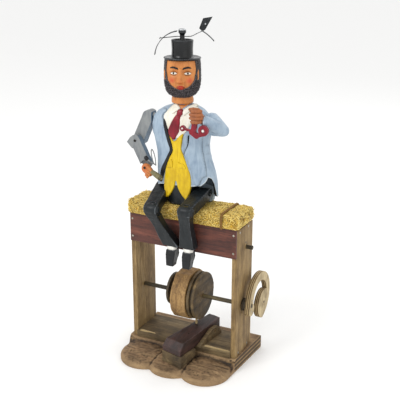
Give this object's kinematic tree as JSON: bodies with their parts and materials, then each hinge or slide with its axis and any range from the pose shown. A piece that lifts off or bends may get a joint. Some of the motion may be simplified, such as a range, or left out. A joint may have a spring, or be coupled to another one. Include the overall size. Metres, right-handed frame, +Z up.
{
  "type": "hand-cranked wooden whirligig",
  "caption": "Hand-cranked wooden whirligig: a seated jointed figure in an open top hat with a small wind rotor, on a straw bale over a frame with camshaft, spiral crank and pedal.",
  "frame": {"origin": "on the surface the ground plate rests on, midway between the uprights and midway through their depth", "axes": "+Z up, the figure and the lever point to -Y, +X towards the crank"},
  "size_m": [0.1947, 0.1595, 0.5048],
  "materials": {
    "carved_ground": "raw carved, pitted",
    "pine": "raw planed pine",
    "old_plywood": "aged plywood",
    "mahogany": "stained board",
    "straw_paint": "brush-painted wood",
    "cord": "jute cord",
    "steel": "bright nail steel",
    "dark_nail": "darkened nail steel",
    "dowel": "raw dowel",
    "cam_pine": "sawn pine",
    "dark_plywood": "oiled plywood",
    "birch_ply": "birch plywood",
    "walnut_bar": "stained hardwood",
    "coat_blue": "satin enamel on carved wood",
    "sleeve_grey": "satin enamel on carved wood",
    "flesh": "satin enamel on carved wood",
    "brown_flesh": "satin enamel on carved wood",
    "hat_black": "semi-gloss enamel on turned wood",
    "vane_tin": "blackened tin",
    "tool_olive": "enamel",
    "crimson": "gloss enamel on cut wood",
    "trouser_black": "satin enamel on carved wood",
    "shoe_black": "gloss enamel on carved wood"
  },
  "bodies": {
    "stand": {"ground_plate": "carved_ground", "platform": "old_plywood", "left_upright": "pine", "right_upright": "pine", "front_apron": "mahogany", "straw_bale": "straw_paint", "bale_band": "cord", "apron_nails": "steel", "upright_nails": "steel", "stop_peg": "dowel", "seat_dowel": "dowel", "left_cheek": "old_plywood", "right_cheek": "old_plywood", "lever_rest": "old_plywood", "torso": "coat_blue", "neck_dowel": "dowel"},
    "camshaft": {"crank_shaft": "dowel", "cam_block": "cam_pine", "grooved_wheel": "dark_plywood", "follower_disc": "dark_plywood", "shaft_collar": "dark_plywood", "spiral_crank": "birch_ply", "crank_nails": "steel"},
    "lever": {"lever_bar": "walnut_bar", "lever_pin": "dowel", "lever_peg": "dowel"},
    "head": {"head": "flesh", "top_hat": "hat_black", "hat_axle": "steel"},
    "rotor": {"rotor_hub": "hat_black", "rotor_cap": "steel", "rotor_arms": "steel", "right_vane": "vane_tin", "left_vane": "vane_tin"},
    "right_upper_arm": {"right_upper_arm": "sleeve_grey", "right_shoulder_pin": "dowel", "right_elbow_nail": "dark_nail"},
    "right_forearm": {"right_forearm": "sleeve_grey", "right_wrist_nail": "dark_nail"},
    "right_hand": {"right_hand": "flesh", "tool_barrel": "tool_olive", "tool_frame": "steel", "tool_knob": "hat_black"},
    "left_arm": {"left_sleeve": "coat_blue", "left_shoulder_pin": "dowel", "left_hand": "brown_flesh", "scroll_pipe": "crimson"},
    "right_thigh": {"right_thigh": "trouser_black", "right_hip_pin": "trouser_black", "right_knee_nail": "dark_nail"},
    "right_shin": {"right_shin": "trouser_black", "right_foot": "shoe_black"},
    "left_thigh": {"left_thigh": "trouser_black", "left_hip_pin": "trouser_black", "left_knee_nail": "dark_nail"},
    "left_shin": {"left_shin": "trouser_black", "left_foot": "shoe_black"}
  },
  "joints": [
    {"name": "crank_turn", "type": "hinge", "parent": "stand", "child": "camshaft", "pos_m": [0, -0.004, 0.0975], "axis": [1, 0, 0], "continuous": true},
    {"name": "lever_rock", "type": "hinge", "parent": "stand", "child": "lever", "pos_m": [0.0215, 0.006, 0.0405], "axis": [-0.9744, 0.225, 0], "range_deg": [0, 3]},
    {"name": "head_turn", "type": "hinge", "parent": "stand", "child": "head", "pos_m": [-0.011, -0.004, 0.387], "axis": [0, 0, 1], "range_deg": [-40, 40]},
    {"name": "rotor_spin", "type": "hinge", "parent": "head", "child": "rotor", "pos_m": [-0.011, -0.004, 0.4782], "axis": [0, 0, 1], "continuous": true},
    {"name": "right_shoulder_swing", "type": "hinge", "parent": "stand", "child": "right_upper_arm", "pos_m": [-0.058, -0.006, 0.366], "axis": [-1, 0, 0], "range_deg": [-1.5, 25]},
    {"name": "right_elbow_bend", "type": "hinge", "parent": "right_upper_arm", "child": "right_forearm", "pos_m": [-0.0795, -0.012, 0.3285], "axis": [0, 1, 0], "range_deg": [-6, 20]},
    {"name": "right_wrist_bend", "type": "hinge", "parent": "right_forearm", "child": "right_hand", "pos_m": [-0.0615, -0.012, 0.2915], "axis": [0, 1, 0], "range_deg": [-12, 12]},
    {"name": "left_shoulder_swing", "type": "hinge", "parent": "stand", "child": "left_arm", "pos_m": [0.031, -0.004, 0.366], "axis": [-1, 0, 0], "range_deg": [-12, 18]},
    {"name": "right_hip_swing", "type": "hinge", "parent": "stand", "child": "right_thigh", "pos_m": [-0.041, -0.008, 0.26], "axis": [-1, 0, 0], "range_deg": [0, 22]},
    {"name": "right_knee_kick", "type": "hinge", "parent": "right_thigh", "child": "right_shin", "pos_m": [-0.033, -0.057, 0.2425], "axis": [-1, 0, 0], "range_deg": [-1, 45]},
    {"name": "left_hip_swing", "type": "hinge", "parent": "stand", "child": "left_thigh", "pos_m": [0.024, -0.008, 0.26], "axis": [-1, 0, 0], "range_deg": [0, 22]},
    {"name": "left_knee_kick", "type": "hinge", "parent": "left_thigh", "child": "left_shin", "pos_m": [0.019, -0.054, 0.245], "axis": [-1, 0, 0], "range_deg": [-1, 45]}
  ]
}
